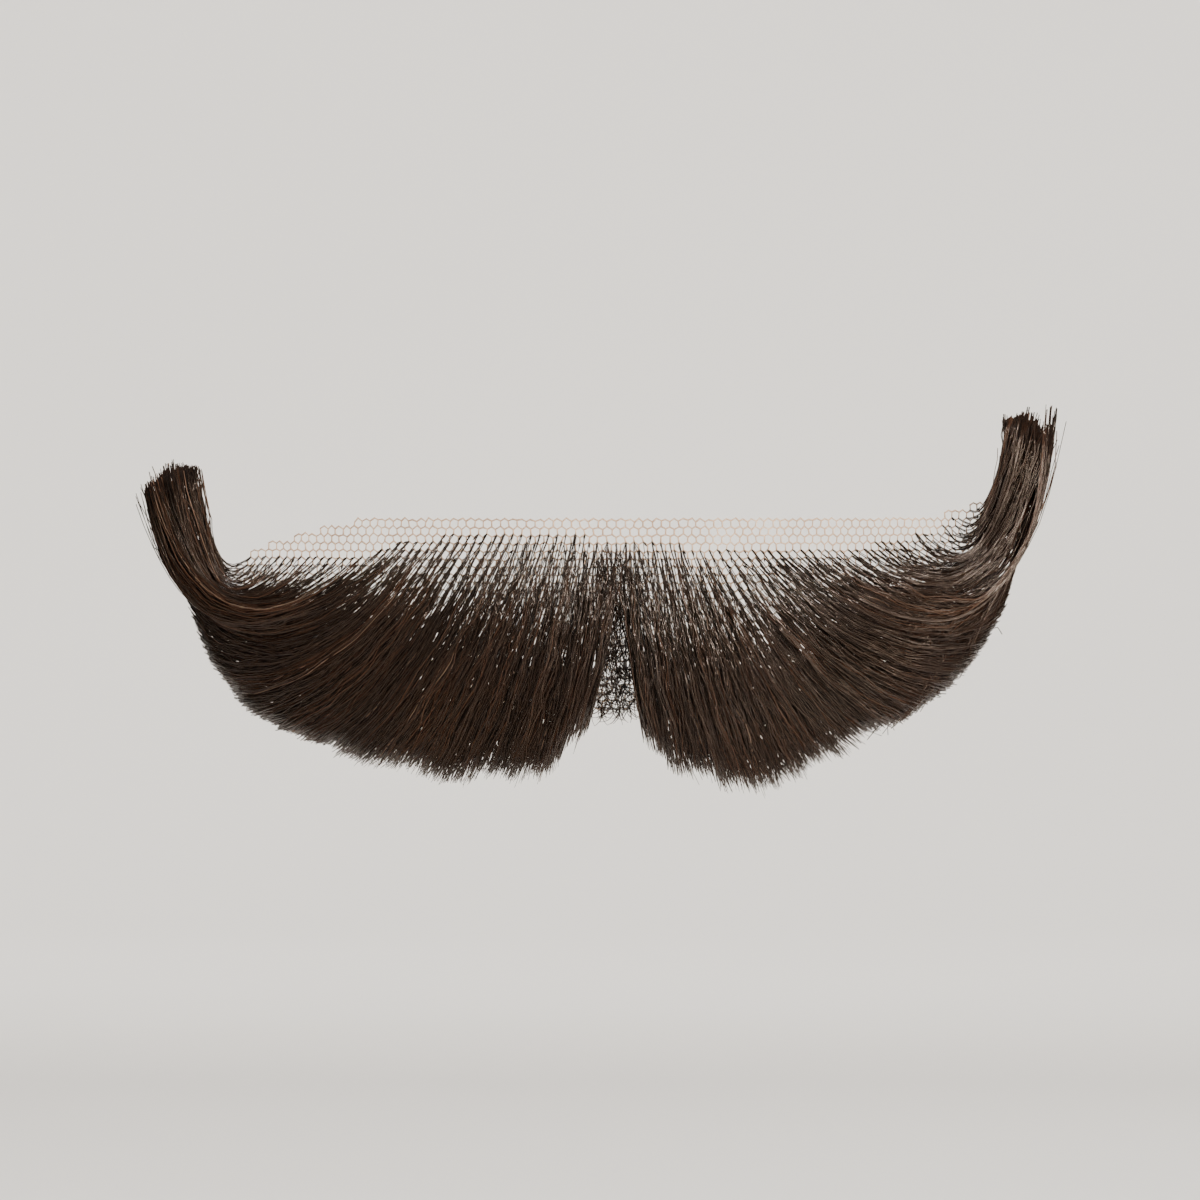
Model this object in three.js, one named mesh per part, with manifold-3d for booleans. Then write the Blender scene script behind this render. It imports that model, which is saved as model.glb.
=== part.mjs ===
// Hand-tied false moustache: a curved lace foundation and two wings of combed hair with upswept tips.
// Units are millimetres, +Z is up and the front faces -Y.
// The origin is the middle of the lace's back, where the moustache is glued to the upper lip.
import * as THREE from 'three';
import { mergeVertices } from 'three/addons/utils/BufferGeometryUtils.js';
import Module from 'manifold-3d';

const wasm = await Module();
wasm.setup();

// Width and height
const PARTING_X = 1.4;            // the parting stands a little to the wearer's left of the centre
const PARTING_GAP = 0.4;          // between the two wings, along the parting
const LEFT_REACH = 50.8;          // from the parting to the outside of the left tip
const RIGHT_REACH = 55.2;         // from the parting to the outside of the right tip
const HAIRLINE = 4.7;             // top row of knots, above the origin
const DROP = 24;                  // longest hair ends, below the origin
const LEFT_TIP_RISE = 18.9;       // top of the left tip, above the origin
const RIGHT_TIP_RISE = 13.2;      // top of the right tip, above the origin

// Curve of the face behind the piece
const FACE_ROUND = 35;            // radius-like size of the upper lip's front
const FACE_SLOPE = 0.9;           // how steeply the cheeks run back
const LIP_SLANT = 0.06;           // how far the surface leans back for each millimetre of height

// Lace
const LACE_THICKNESS = 1;
const LACE_MARGIN = 3;            // bare lace above the hairline
const LACE_DROP = 15;             // lower edge of the lace, below the origin

// Hair
const HAIR_CLEARANCE = 0.3;       // between the lace's front and the hair's back
const HAIR_THICKNESS = 5;         // of the combed hair at its thickest
const TIP_STANDOFF = 2;           // how far the end of a tip stands off the cheek
const MAT_SHARE = 0.68;           // the closed mat's part of the thickness, under the raised locks
const MAT_END = 0.95;             // the mat's part of the length, short of the free ends
const LOCK_SPREAD = 1.18;         // a lock's width over its pitch, so that neighbours fuse
const LOCK_TAPER = 0.75;          // a combed lock narrows from here along its length
const LOCK_POINT = 0.25;          // width left at a combed lock's free end
const LOCK_SINK = 0.15;           // share of the thickness that stays behind a lock
const TIP_START = 0.6;            // lines past this share of the hairline sweep up into the tip
const TIP_BLEND = 0.05;           // half the band over which combed hair turns into tip hair
const STANDOFF_START = 0.5;       // a tip starts to leave the cheek here along its length

// Fineness of the faceted surfaces
const LACE_COLUMNS = 46;
const LACE_ROWS = 6;
const MAT_COLUMNS = 26;
const MAT_ROWS = 10;
const LOCK_STEPS = 12;
const LOCK_SIDES = 8;
const FLOW_STEP = 0.01;           // step along a line that gives its direction
const WELD = 1e-4;                // corners closer than this are one

const table = (columns, rows) => rows.map(
  (row) => Object.fromEntries(columns.map((name, i) => [name, row[i]])));

// Lines that the hair is combed along, from the parting outwards.
// "across" is the line's place along the hairline, from 0 at the parting to 1 at the outer corner.
// Each x is a share of the wing's reach, and rootZ is a share of the hairline's height.
// The other z columns are shares of the drop below the origin, or of the tip's rise above it.
const LINE_COLUMNS = ['across', 'rootX', 'rootZ', 'bendX', 'bendZ', 'sweepX', 'sweepZ', 'endX', 'endZ'];
const LEFT_LINES = table(LINE_COLUMNS, [
  [0.00, 0.000, 1.00, 0.004, -0.125, 0.024, -0.50, 0.055, -0.79],
  [0.08, 0.055, 0.88, 0.077, -0.167, 0.108, -0.54, 0.150, -0.94],
  [0.18, 0.125, 0.84, 0.165, -0.170, 0.225, -0.60, 0.305, -1.00],
  [0.28, 0.185, 0.79, 0.254, -0.180, 0.345, -0.55, 0.457, -0.85],
  [0.38, 0.235, 0.74, 0.333, -0.165, 0.457, -0.50, 0.610, -0.69],
  [0.48, 0.300, 0.74, 0.410, -0.150, 0.570, -0.46, 0.754, -0.49],
  [0.56, 0.360, 0.79, 0.486, -0.140, 0.725, -0.43, 0.867, -0.18],
  [0.62, 0.415, 0.80, 0.545, -0.125, 0.872, -0.52, 1.000, 0.90],
  [0.74, 0.530, 0.84, 0.657, -0.090, 0.866, -0.25, 0.970, 0.95],
  [0.87, 0.690, 1.10, 0.770, 0.028, 0.862, 0.028, 0.931, 0.99],
  [1.00, 0.812, 1.70, 0.836, 0.390, 0.863, 0.58, 0.891, 0.98],
]);
const RIGHT_LINES = table(LINE_COLUMNS, [
  [0.00, 0.000, 1.00, 0.002, -0.125, 0.015, -0.38, 0.078, -0.79],
  [0.08, 0.055, 1.03, 0.075, -0.125, 0.112, -0.54, 0.171, -0.95],
  [0.18, 0.140, 1.15, 0.180, -0.125, 0.250, -0.60, 0.324, -0.95],
  [0.28, 0.220, 1.18, 0.281, -0.115, 0.375, -0.58, 0.480, -0.89],
  [0.38, 0.285, 1.15, 0.366, -0.100, 0.469, -0.56, 0.615, -0.78],
  [0.48, 0.345, 1.05, 0.438, -0.104, 0.560, -0.56, 0.735, -0.67],
  [0.56, 0.405, 0.96, 0.516, -0.117, 0.688, -0.58, 0.851, -0.41],
  [0.62, 0.455, 0.86, 0.563, -0.112, 0.885, -0.56, 1.000, 0.69],
  [0.74, 0.590, 0.46, 0.690, -0.140, 0.880, -0.38, 0.975, 0.87],
  [0.87, 0.731, 0.60, 0.798, -0.083, 0.880, -0.21, 0.935, 0.99],
  [1.00, 0.796, 0.50, 0.832, 0.090, 0.865, 0.35, 0.891, 0.98],
]);

// Hair thickness from the root to the free end, as shares of the full thickness.
const THICKNESS = table(['along', 'combed', 'tip'], [
  [0.00, 0.22, 0.25],
  [0.20, 0.55, 0.60],
  [0.45, 0.86, 0.90],
  [0.75, 1.00, 1.00],
  [1.00, 0.80, 0.92],
]);

// Locks of each wing: their places along the hairline, and how far along its line each one ends.
const LOCKS = table(['from', 'to', 'ends'], [
  [0.00, 0.07, 0.97],
  [0.07, 0.15, 1.00],
  [0.15, 0.22, 0.98],
  [0.22, 0.30, 1.00],
  [0.30, 0.38, 0.98],
  [0.38, 0.45, 1.00],
  [0.45, 0.51, 0.98],
  [0.51, 0.56, 1.00],
  [0.56, 0.60, 0.99],
  [0.60, 0.68, 0.98],
  [0.68, 0.78, 1.00],
  [0.78, 0.89, 0.98],
  [0.89, 1.00, 1.00],
]);

// Lace edges. "place" is a share of the reach on that side of the parting, right side negative,
// "top" is a share of the lace's height above the origin and "bottom" of its drop.
const LACE_EDGES = table(['place', 'top', 'bottom'], [
  [-0.811, 0.19, 0.10],
  [-0.764, 0.45, 0.33],
  [-0.700, 0.64, 0.53],
  [-0.622, 0.79, 0.70],
  [-0.542, 0.91, 0.81],
  [-0.358, 0.97, 0.95],
  [-0.067, 1.00, 1.00],
  [0.214, 0.97, 0.99],
  [0.501, 0.97, 0.87],
  [0.655, 0.96, 0.63],
  [0.788, 1.06, 0.23],
  [0.846, 1.32, -0.20],
]);

// Smooth value of one column at a key, without overshoot between the rows.
function smooth(rows, key, column, at) {
  let i = 0;
  while (i < rows.length - 2 && at > rows[i + 1][key]) i += 1;
  const step = (n) => (rows[n + 1][column] - rows[n][column]) / (rows[n + 1][key] - rows[n][key]);
  const slope = (n) => {
    if (n === 0) return step(0);
    if (n === rows.length - 1) return step(n - 1);
    const before = step(n - 1);
    const after = step(n);
    return before * after <= 0 ? 0 : (2 * before * after) / (before + after);
  };
  const span = rows[i + 1][key] - rows[i][key];
  const u = (at - rows[i][key]) / span;
  const rise = u * u * (3 - 2 * u);
  return rows[i][column] * (1 - rise) + rows[i + 1][column] * rise
    + span * (u * (1 - u) * (1 - u) * slope(i) - u * u * (1 - u) * slope(i + 1));
}

// The face's surface behind a point seen from the front: its depth and its outward normal.
function faceDepth(x, z) {
  return FACE_SLOPE * (Math.hypot(x, FACE_ROUND) - FACE_ROUND) + LIP_SLANT * z;
}

function faceNormal(x) {
  return new THREE.Vector3((FACE_SLOPE * x) / Math.hypot(x, FACE_ROUND), -1, LIP_SLANT).normalize();
}

// A point in front of the face by "lift", at the place x, z seen from the front.
function onFace(x, z, lift) {
  return new THREE.Vector3(x, faceDepth(x, z) + lift / faceNormal(x).y, z);
}

// Closed surface through rings of equal count. Each ring runs along one side and back on the other,
// so that the two end caps are ladders between its halves.
function loft(rings) {
  const count = rings[0].length;
  const positions = rings.flat().flatMap((p) => [p.x, p.y, p.z]);
  const faces = [];
  for (let r = 0; r < rings.length - 1; r += 1) {
    for (let i = 0; i < count; i += 1) {
      const a = r * count + i;
      const b = r * count + ((i + 1) % count);
      faces.push(a, b, b + count, a, b + count, a + count);
    }
  }
  const last = (rings.length - 1) * count;
  for (let i = 0; i < count / 2 - 1; i += 1) {
    const j = count - 1 - i;
    faces.push(i, j, i + 1, i + 1, j, j - 1);
    faces.push(last + i, last + i + 1, last + j, last + i + 1, last + j - 1, last + j);
  }
  const geometry = new THREE.BufferGeometry();
  geometry.setAttribute('position', new THREE.Float32BufferAttribute(positions, 3));
  geometry.setIndex(faces);
  return outward(geometry);
}

// Turns every face over when the closed surface points inwards.
function outward(geometry) {
  const at = geometry.getAttribute('position');
  const index = geometry.getIndex().array;
  const corner = [0, 1, 2].map(() => new THREE.Vector3());
  let volume = 0;
  for (let i = 0; i < index.length; i += 3) {
    corner.forEach((v, k) => v.fromBufferAttribute(at, index[i + k]));
    volume += corner[0].dot(corner[1].clone().cross(corner[2])) / 6;
  }
  if (volume < 0) geometry.setIndex(Array.from(index).reverse());
  return geometry;
}

// Boolean join
function toSolid(geometry) {
  const merged = mergeVertices(geometry, WELD);
  return new wasm.Manifold(new wasm.Mesh({
    numProp: 3,
    vertProperties: new Float32Array(merged.getAttribute('position').array),
    triVerts: new Uint32Array(merged.getIndex().array),
  }));
}

function toGeometry(solid) {
  const mesh = solid.getMesh();
  const geometry = new THREE.BufferGeometry();
  geometry.setAttribute('position', new THREE.BufferAttribute(new Float32Array(mesh.vertProperties), 3));
  geometry.setIndex(Array.from(mesh.triVerts));
  return geometry;
}

function joined(geometries) {
  return toGeometry(geometries.map(toSolid).reduce((whole, piece) => whole.add(piece)));
}

// One wing: "side" is +1 on the wearer's left and -1 on the right.
function wingShape(side, reach, tipRise, lines) {
  const placeX = (share) => PARTING_X + side * (PARTING_GAP / 2 + share * reach);
  const placeZ = (share) => share * (share < 0 ? DROP : tipRise);

  // Front view of a combed line at "along", from 0 at the root to 1 at the free end.
  const frontView = (across, along) => {
    const value = (column) => smooth(lines, 'across', column, across);
    const curve = new THREE.CubicBezierCurve(
      new THREE.Vector2(placeX(value('rootX')), value('rootZ') * HAIRLINE),
      new THREE.Vector2(placeX(value('bendX')), placeZ(value('bendZ'))),
      new THREE.Vector2(placeX(value('sweepX')), placeZ(value('sweepZ'))),
      new THREE.Vector2(placeX(value('endX')), placeZ(value('endZ'))),
    );
    return curve.getPoint(along);
  };

  const tipPart = (across) => THREE.MathUtils.smoothstep(across, TIP_START - TIP_BLEND, TIP_START + TIP_BLEND);

  // Lift of the hair's back off the face: on the lace first, then off the cheek at a tip.
  const backLift = (across, along) => LACE_THICKNESS + HAIR_CLEARANCE
    + TIP_STANDOFF * tipPart(across) * THREE.MathUtils.smoothstep(along, STANDOFF_START, 1);

  const thickness = (across, along) => HAIR_THICKNESS * THREE.MathUtils.lerp(
    smooth(THICKNESS, 'along', 'combed', along), smooth(THICKNESS, 'along', 'tip', along), tipPart(across));

  return { frontView, backLift, thickness, tipPart };
}

// The closed mat of combed hair that the locks stand on.
function hairMat({ frontView, backLift, thickness }) {
  const rings = [];
  for (let c = 0; c <= MAT_COLUMNS; c += 1) {
    const across = c / MAT_COLUMNS;
    const front = [];
    const back = [];
    for (let r = 0; r <= MAT_ROWS; r += 1) {
      const along = (MAT_END * r) / MAT_ROWS;
      const seen = frontView(across, along);
      const behind = backLift(across, along);
      back.push(onFace(seen.x, seen.y, behind));
      front.push(onFace(seen.x, seen.y, behind + MAT_SHARE * thickness(across, along)));
    }
    rings.push([...front, ...back.reverse()]);
  }
  return loft(rings);
}

// One raised lock along its line, oval in section, pointed at a combed end and blunt at a tip.
function hairLock({ frontView, backLift, thickness, tipPart }, lock) {
  const across = (lock.from + lock.to) / 2;
  const spread = lock.from === 0 || lock.to === 1 ? 1 : LOCK_SPREAD;
  const rings = [];
  for (let s = 0; s <= LOCK_STEPS; s += 1) {
    const along = (lock.ends * s) / LOCK_STEPS;
    const seen = frontView(across, along);
    const flow = frontView(across, Math.min(along + FLOW_STEP, 1)).sub(frontView(across, along - FLOW_STEP));
    const normal = faceNormal(seen.x);
    const tangent = onFace(seen.x + flow.x, seen.y + flow.y, 0).sub(onFace(seen.x, seen.y, 0)).normalize();
    const sideways = tangent.clone().cross(normal).normalize();
    const pitch = frontView(lock.to, along).sub(frontView(lock.from, along));
    const width = Math.abs(new THREE.Vector3(pitch.x, 0, pitch.y).dot(sideways));
    const pointed = THREE.MathUtils.smoothstep(along, LOCK_TAPER, lock.ends) * (1 - tipPart(across));
    const halfWidth = (spread * width * THREE.MathUtils.lerp(1, LOCK_POINT, pointed)) / 2;
    const full = thickness(across, along);
    const low = backLift(across, along) + full * LOCK_SINK;
    const high = backLift(across, along) + full;
    const centre = onFace(seen.x, seen.y, (low + high) / 2);
    const halfHeight = ((high - low) / 2) * THREE.MathUtils.lerp(1, LOCK_POINT, pointed);
    const ring = [];
    for (let k = 0; k < LOCK_SIDES; k += 1) {
      const turn = (2 * Math.PI * (k + 0.5)) / LOCK_SIDES;
      ring.push(centre.clone()
        .addScaledVector(sideways, halfWidth * Math.cos(turn))
        .addScaledVector(normal, halfHeight * Math.sin(turn)));
    }
    rings.push(ring);
  }
  return loft(rings);
}

function wing(side, reach, tipRise, lines) {
  const shape = wingShape(side, reach, tipRise, lines);
  return joined([hairMat(shape), ...LOCKS.map((lock) => hairLock(shape, lock))]);
}

// The curved wall of the lace, from its right corner to its left one.
function laceWall() {
  const first = LACE_EDGES[0].place;
  const last = LACE_EDGES[LACE_EDGES.length - 1].place;
  const rings = [];
  for (let c = 0; c <= LACE_COLUMNS; c += 1) {
    const place = THREE.MathUtils.lerp(first, last, c / LACE_COLUMNS);
    const x = PARTING_X + place * (place < 0 ? RIGHT_REACH : LEFT_REACH);
    const top = smooth(LACE_EDGES, 'place', 'top', place) * (HAIRLINE + LACE_MARGIN);
    const bottom = -smooth(LACE_EDGES, 'place', 'bottom', place) * LACE_DROP;
    const front = [];
    const back = [];
    for (let r = 0; r <= LACE_ROWS; r += 1) {
      const z = THREE.MathUtils.lerp(top, bottom, r / LACE_ROWS);
      back.push(onFace(x, z, 0));
      front.push(onFace(x, z, LACE_THICKNESS));
    }
    rings.push([...front, ...back.reverse()]);
  }
  return loft(rings);
}

// Parts
const laceMaterial = new THREE.MeshStandardMaterial({ color: 0xc8ad8c, roughness: 0.8, metalness: 0 });
const hairMaterial = new THREE.MeshStandardMaterial({ color: 0x33261d, roughness: 0.5, metalness: 0 });

function part(name, geometry, material) {
  const shaded = geometry.toNonIndexed();
  shaded.computeVertexNormals();
  const mesh = new THREE.Mesh(shaded, material);
  mesh.name = name;
  return mesh;
}

const moustache = new THREE.Group();
moustache.add(
  part('lace_foundation', laceWall(), laceMaterial),
  part('left_wing', wing(1, LEFT_REACH, LEFT_TIP_RISE, LEFT_LINES), hairMaterial),
  part('right_wing', wing(-1, RIGHT_REACH, RIGHT_TIP_RISE, RIGHT_LINES), hairMaterial),
);

export default moustache;
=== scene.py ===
import math
from types import SimpleNamespace

import bpy
import numpy as np
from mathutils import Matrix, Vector
from mathutils.kdtree import KDTree


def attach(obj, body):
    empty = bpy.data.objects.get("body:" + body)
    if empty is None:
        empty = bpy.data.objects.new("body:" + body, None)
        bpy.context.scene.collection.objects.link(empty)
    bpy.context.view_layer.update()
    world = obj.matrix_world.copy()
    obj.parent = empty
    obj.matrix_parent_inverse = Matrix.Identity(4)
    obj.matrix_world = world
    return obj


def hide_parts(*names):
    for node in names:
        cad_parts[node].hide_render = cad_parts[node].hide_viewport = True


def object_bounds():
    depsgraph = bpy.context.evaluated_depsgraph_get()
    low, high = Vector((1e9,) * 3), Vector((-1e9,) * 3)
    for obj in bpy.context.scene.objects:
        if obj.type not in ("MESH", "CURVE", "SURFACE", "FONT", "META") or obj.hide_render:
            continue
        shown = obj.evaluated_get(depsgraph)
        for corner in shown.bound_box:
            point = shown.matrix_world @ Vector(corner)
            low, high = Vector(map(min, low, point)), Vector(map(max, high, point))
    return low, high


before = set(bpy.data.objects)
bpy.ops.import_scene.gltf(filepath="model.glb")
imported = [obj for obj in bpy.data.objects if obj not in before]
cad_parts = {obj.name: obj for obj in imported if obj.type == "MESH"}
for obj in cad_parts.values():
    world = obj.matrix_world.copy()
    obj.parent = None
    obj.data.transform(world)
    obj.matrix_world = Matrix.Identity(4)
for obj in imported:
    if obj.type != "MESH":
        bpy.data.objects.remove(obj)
cad_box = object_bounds()

MM = 0.001
SEED = 20

# Width and height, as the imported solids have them
PARTING_X = 1.4               # the parting stands a little to the wearer's left of the centre
PARTING_GAP = 0.4             # between the two wings, along the parting
LEFT_REACH = 50.8             # from the parting to the outside of the left tip
RIGHT_REACH = 55.2            # from the parting to the outside of the right tip
HAIRLINE = 4.7                # top row of knots, above the origin
DROP = 24.0                   # longest hair ends, below the origin
LEFT_TIP_RISE = 18.9          # top of the left tip, above the origin
RIGHT_TIP_RISE = 13.2         # top of the right tip, above the origin

# Curve of the face behind the piece
FACE_ROUND = 35.0             # radius-like size of the upper lip's front
FACE_SLOPE = 0.9              # how steeply the cheeks run back
LIP_SLOPE = 0.06              # how far the surface leans back for each millimetre of height

# Net
LACE_MARGIN = 3.0             # bare net above the hairline
LACE_DROP = 15.0              # lower edge of the net, below the origin
NET_LIFT = 0.55               # middle of the threads, in front of the face
NET_EDGE = 0.60               # side of a hexagon
NET_THREAD = 0.18             # thickness of a thread
NET_JITTER = 0.05             # how far a corner strays from its place
NET_SIDES = 4
NET_COLUMNS = range(-64, 65)
NET_ROWS = range(-20, 15)
NET_HALF_WIDTH = 60.0         # the face is measured this far to each side

# Form of the hair
HAIR_BACK = 1.3               # back of the hair, in front of the face
HAIR_THICKNESS = 5.0          # of the combed hair at its thickest
TIP_STANDOFF = 2.0            # how far the end of a tip stands off the cheek
TIP_START = 0.6               # lines past this share of the hairline sweep up into the tip
TIP_BLEND = 0.05              # half the band over which combed hair turns into tip hair
TIP_EDGE = 0.57               # line at the tip's outer edge, where its section is thin
LEAST_SPACING = 14.0          # between lines, for each unit of across
CLIMB = 4.5                   # length of a hair from its knot to its own layer
PAST_EDGE = 0.7               # most that hair spreads beyond the outermost line

# Single hairs
HAIR_RADIUS = 0.056
HAIR_SIDES = 3
KNOT_RADIUS = 0.13
KNOT_REACH = 0.22             # a knot this near a wing's lines carries that wing's hair
KNOT_OVERLAP = 6.0            # a wing's knots lie up to this far past the parting
TUFT_SPREAD = 0.06            # of the roots of one knot's hairs
STRAY_SHARE = 0.04            # of the hairs, which leave their tuft
SHORT_SHARE = 0.12            # of the hairs, which end early
LIGHT_SHARE = 0.055           # of the hairs, which are lighter than the rest

# Hairs for each knot: at the hairline and how many more deep down, in full and in sheer hair
FULL_HAIRS = (2.7, 4.8)
SHEER_HAIRS = (3.8, 0.8)
BEND_HAIRS = 2.0              # more where the hair bends up, to cover its outer edge
LEFT_SHEER_WIDTH = 7.5        # sheer hair to this side of the parting
RIGHT_SHEER_WIDTH = 17.0
SHEER_BLEND = 3.5             # half the band over which sheer hair turns full

# Loose hair along the parting and in the gap below it
GAP_TOP = HAIRLINE - 6        # bare net in the gap starts here
GAP_HAIRS = (3.0, 9.0)        # hairs for each of its knots, and how many more at its lower edge
PARTING_BAND = 2.6            # knots this near the parting also carry loose hair
PARTING_LOW = -8.0            # from this height
PARTING_HIGH = HAIRLINE - 0.4  # to this one
PARTING_HAIRS = 5.0           # loose hairs for each of these knots

# Clumps that the hair of one wing gathers into towards its ends, and how tightly
CLUMPS = 60
CLUMP_PULL = 0.3

# Pieces that each wing's hair is made in, by the lines that they lie between
PIECE_COLUMNS = ("title", "low", "high")
PIECES = (
    ("inner", -1, 0.27),
    ("middle", 0.27, 0.55),
    ("swept", 0.55, 2),
)
# Steps that a hair is made in, by its length
STEP_COLUMNS = ("shortest", "longest", "steps")
HAIR_STEPS = (
    (0, 9, 6),
    (9, 20, 11),
    (20, 32, 16),
    (32, 99, 21),
)
# Where the hair past the first of these lines is combed to. Shares of that hair are counted outwards.
# More is combed round the bend than grows there, because the lines part at the bend.
COMBING_COLUMNS = ("share", "line")
COMBING = (
    (0.00, 0.44),
    (0.14, 0.50),
    (0.31, 0.56),
    (0.55, 0.60),
    (0.64, 0.63),
    (1.00, 1.00),
)

LINE_COLUMNS = ("across", "rootX", "rootZ", "bendX", "bendZ", "sweepX", "sweepZ", "endX", "endZ")
# Lines that the hair is combed along. Each x is a share of the wing's reach and rootZ of the hairline's
# height. The other z columns are shares of the drop below the origin or of the tip's rise above it.
LEFT_LINES = (
    (0.00, 0.000, 1.00, 0.004, -0.125, 0.024, -0.50, 0.055, -0.79),
    (0.08, 0.055, 0.88, 0.077, -0.167, 0.108, -0.54, 0.150, -0.94),
    (0.18, 0.125, 0.84, 0.165, -0.170, 0.225, -0.60, 0.305, -1.00),
    (0.28, 0.185, 0.79, 0.254, -0.180, 0.345, -0.55, 0.457, -0.85),
    (0.38, 0.235, 0.74, 0.333, -0.165, 0.457, -0.50, 0.610, -0.69),
    (0.48, 0.300, 0.74, 0.410, -0.150, 0.570, -0.46, 0.754, -0.49),
    (0.56, 0.360, 0.79, 0.486, -0.140, 0.725, -0.43, 0.867, -0.18),
    (0.62, 0.415, 0.80, 0.545, -0.125, 0.930, -0.62, 1.000, 0.90),
    (0.74, 0.530, 0.84, 0.657, -0.090, 0.866, -0.25, 0.970, 0.95),
    (0.87, 0.690, 1.10, 0.770, 0.028, 0.862, 0.028, 0.931, 0.99),
    (1.00, 0.812, 1.70, 0.836, 0.390, 0.863, 0.58, 0.891, 0.98),
)
RIGHT_LINES = (
    (0.00, 0.000, 1.00, 0.002, -0.125, 0.015, -0.38, 0.078, -0.79),
    (0.08, 0.055, 1.03, 0.075, -0.125, 0.112, -0.54, 0.171, -0.95),
    (0.18, 0.140, 1.15, 0.180, -0.125, 0.250, -0.60, 0.324, -0.95),
    (0.28, 0.220, 1.18, 0.281, -0.115, 0.375, -0.58, 0.480, -0.89),
    (0.38, 0.285, 1.15, 0.366, -0.100, 0.469, -0.56, 0.615, -0.78),
    (0.48, 0.345, 1.05, 0.438, -0.104, 0.560, -0.56, 0.735, -0.67),
    (0.56, 0.405, 0.96, 0.516, -0.117, 0.688, -0.58, 0.851, -0.41),
    (0.62, 0.455, 0.86, 0.563, -0.112, 0.920, -0.66, 1.000, 0.69),
    (0.74, 0.590, 0.46, 0.690, -0.140, 0.880, -0.38, 0.975, 0.87),
    (0.87, 0.731, 0.60, 0.798, -0.083, 0.880, -0.21, 0.935, 0.99),
    (1.00, 0.796, 0.50, 0.832, 0.090, 0.865, 0.35, 0.891, 0.98),
)
# Thickness of the hair from the hairline to the free end, as shares of the full thickness
THICKNESS_COLUMNS = ("along", "combed", "tip")
THICKNESS = (
    (0.00, 0.22, 0.25),
    (0.20, 0.55, 0.60),
    (0.45, 0.86, 0.90),
    (0.75, 1.00, 1.00),
    (1.00, 0.80, 0.92),
)
# Lace edges: a share of the reach on that side of the parting, then shares of the rise and the drop
EDGE_COLUMNS = ("place", "top", "bottom")
LACE_EDGES = (
    (-0.811, 0.19, 0.10),
    (-0.764, 0.45, 0.33),
    (-0.700, 0.64, 0.53),
    (-0.622, 0.79, 0.70),
    (-0.542, 0.91, 0.81),
    (-0.358, 0.97, 0.95),
    (-0.067, 1.00, 1.00),
    (0.214, 0.97, 0.99),
    (0.501, 0.97, 0.87),
    (0.655, 0.96, 0.63),
    (0.788, 1.06, 0.23),
    (0.846, 1.32, -0.20),
)


def rows_of(rows, columns):
    """The rows of a table, each with its values under their column's names."""
    return [SimpleNamespace(**dict(zip(columns, row))) for row in rows]


def column_of(rows, columns, name):
    """One column of a table, as numbers."""
    place = columns.index(name)
    return np.array([row[place] for row in rows], float)


def smooth(rows, columns, column, at):
    """Smooth values of one column at the given keys, without overshoot between the rows."""
    keys = column_of(rows, columns, columns[0])
    values = column_of(rows, columns, column)
    at = np.asarray(at, float)
    steps = np.diff(values) / np.diff(keys)
    slopes = np.empty(len(keys))
    slopes[0] = steps[0]
    slopes[-1] = steps[-1]
    before = steps[:-1]
    after = steps[1:]
    same = before * after > 0
    total = np.where(same, before + after, 1.0)
    slopes[1:-1] = np.where(same, 2 * before * after / total, 0.0)
    i = np.clip(np.searchsorted(keys, at, side="right") - 1, 0, len(keys) - 2)
    span = keys[i + 1] - keys[i]
    u = (at - keys[i]) / span
    rise = u * u * (3 - 2 * u)
    bow = u * (1 - u) ** 2 * slopes[i] - u * u * (1 - u) * slopes[i + 1]
    return values[i] * (1 - rise) + values[i + 1] * rise + span * bow


def ramp(value, low, high):
    """Smooth step from 0 at low to 1 at high."""
    u = np.clip((value - low) / (high - low), 0, 1)
    return u * u * (3 - 2 * u)


def face_depth(x, z):
    """How far back the face lies at places x, z seen from the front."""
    return FACE_SLOPE * (np.hypot(x, FACE_ROUND) - FACE_ROUND) + LIP_SLOPE * z


def face_normal(x):
    """Outward normals of the face's surface behind the given places."""
    slope = FACE_SLOPE * x / np.hypot(x, FACE_ROUND)
    size = np.sqrt(slope ** 2 + 1 + LIP_SLOPE ** 2)
    return np.stack([slope / size, -1 / size, LIP_SLOPE / size], -1)


def on_face(x, z, lift):
    """Points in front of the face by lift, at places x, z seen from the front."""
    return np.stack([x, face_depth(x, z) + lift / face_normal(x)[..., 1], z], -1)


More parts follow.
